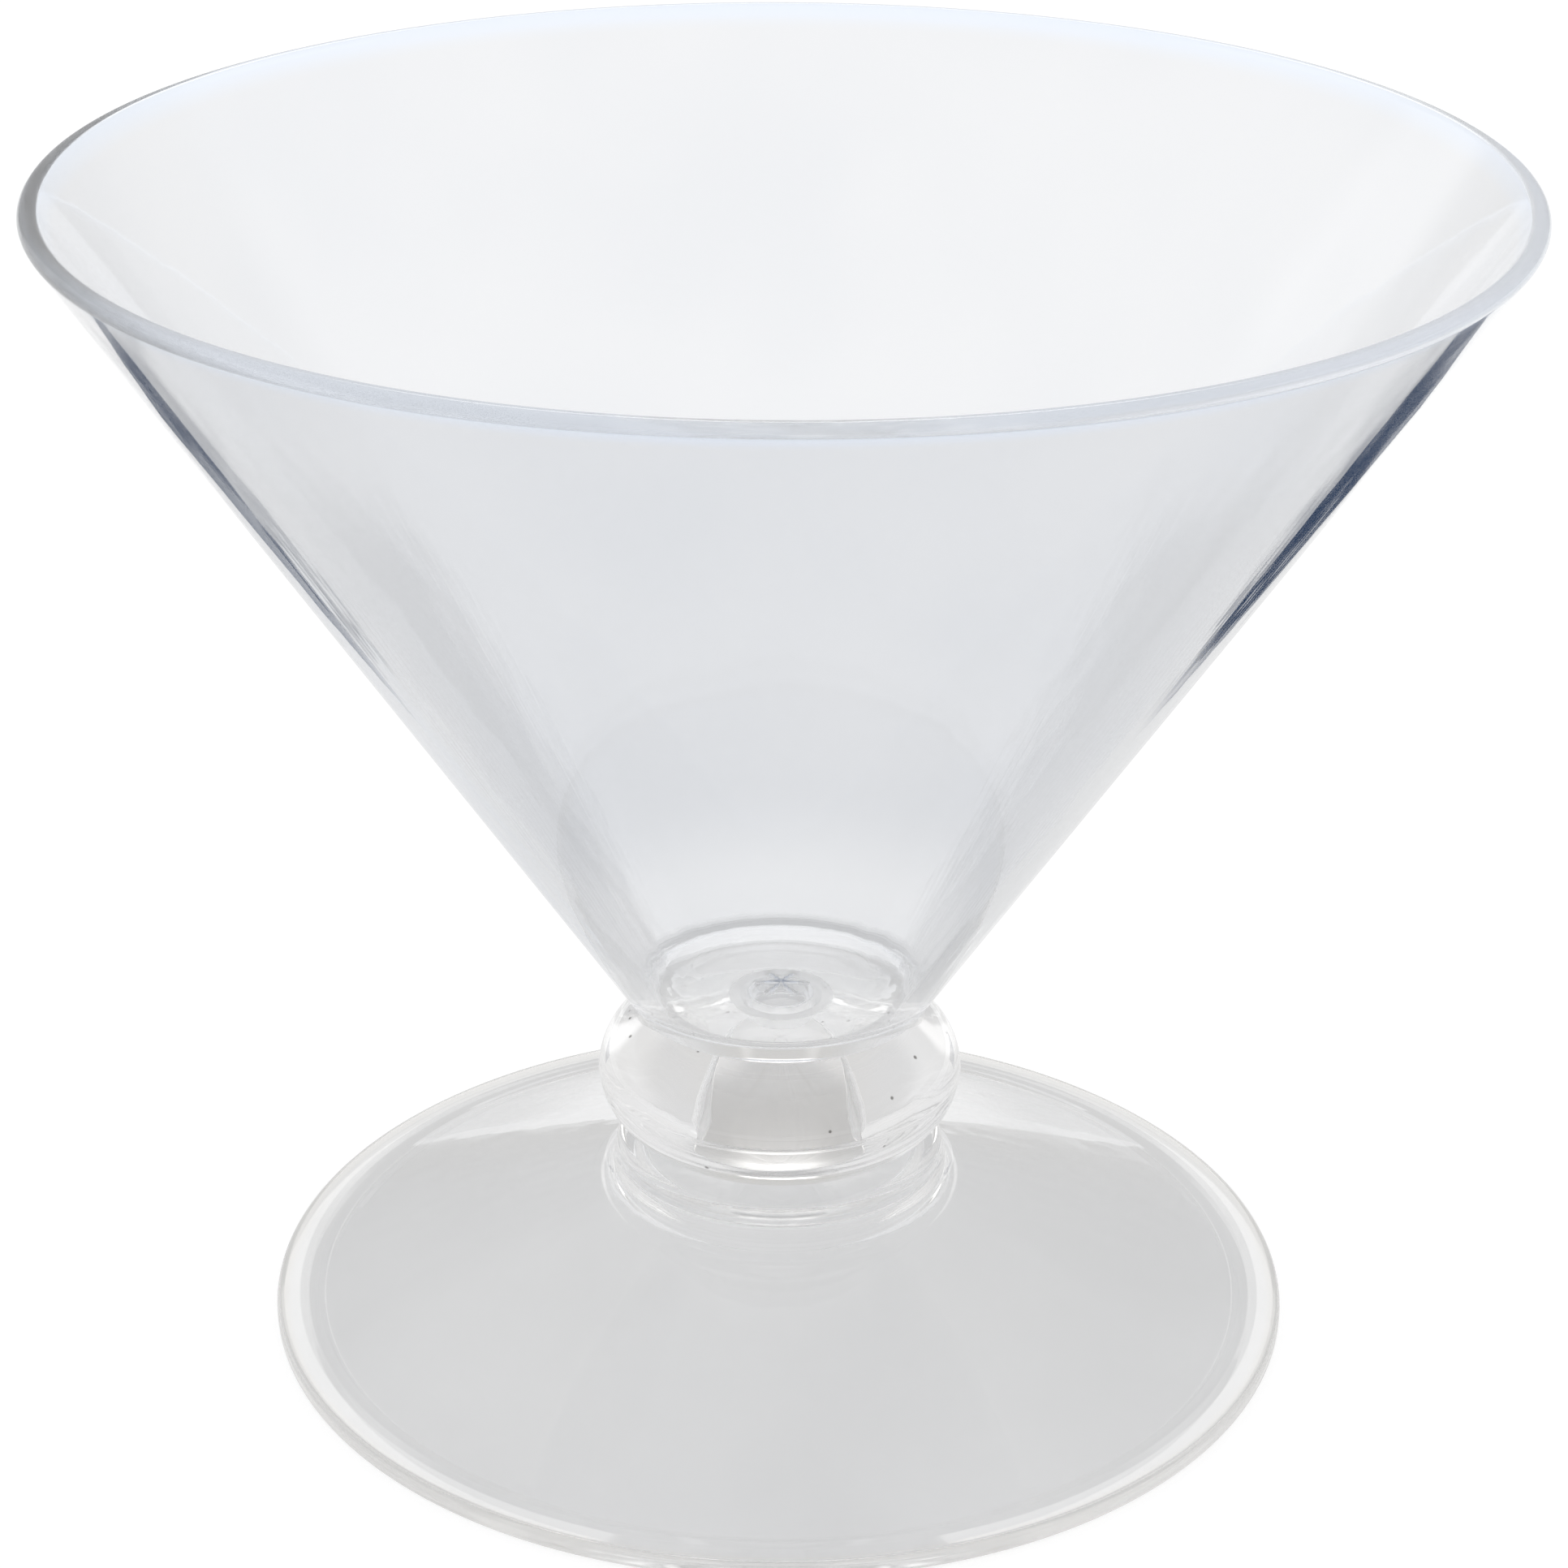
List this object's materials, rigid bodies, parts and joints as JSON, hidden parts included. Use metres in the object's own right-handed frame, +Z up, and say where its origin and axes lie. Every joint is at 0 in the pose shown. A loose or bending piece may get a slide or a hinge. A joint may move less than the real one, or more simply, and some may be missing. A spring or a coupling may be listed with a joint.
{
  "type": "martini glass",
  "caption": "Short-stemmed clear plastic martini glass: a conical bowl that pushes into a solid stem knob on a raised conical foot.",
  "frame": {"origin": "centre of the foot's rest ring, on the surface the glass stands on", "axes": "+Z up along the turning axis, from the foot to the rim; X and Y are any two level directions"},
  "size_m": [0.114, 0.114, 0.0974],
  "materials": {
    "bowl_plastic": "clear and polished",
    "knob_plastic": "clear and polished",
    "foot_plastic": "clear and polished"
  },
  "bodies": {
    "base": {"foot": "foot_plastic", "knob": "knob_plastic"},
    "bowl": {"bowl": "bowl_plastic"}
  },
  "joints": [
    {"name": "bowl_lift", "type": "slide", "parent": "base", "child": "bowl", "axis": [0, 0, 1], "range_m": [0, 0.015]}
  ]
}
